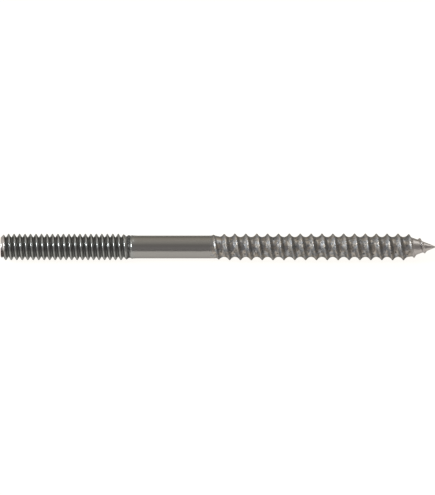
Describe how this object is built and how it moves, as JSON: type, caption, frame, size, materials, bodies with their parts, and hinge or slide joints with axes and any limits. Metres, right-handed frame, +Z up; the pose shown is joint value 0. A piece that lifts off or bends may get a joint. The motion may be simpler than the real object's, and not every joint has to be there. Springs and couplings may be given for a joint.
{
  "type": "hanger bolt",
  "caption": "Double-ended steel bolt: a machine-thread stud, a plain shank and a coarse wood thread with a gimlet point, all on one axis.",
  "frame": {"origin": "on the bolt's axis, in the plane where the wood thread starts, which is the face of the wood once the bolt is driven in", "axes": "+X along the bolt towards its point, +Z up as it lies on a flat surface"},
  "size_m": [0.1016, 0.0063, 0.0063],
  "materials": {
    "bright_steel": "bright rolled stainless steel, faintly drawn along the shank, worn bright on the crests"
  },
  "bodies": {
    "root": {"hanger_bolt": "bright_steel"}
  },
  "joints": []
}
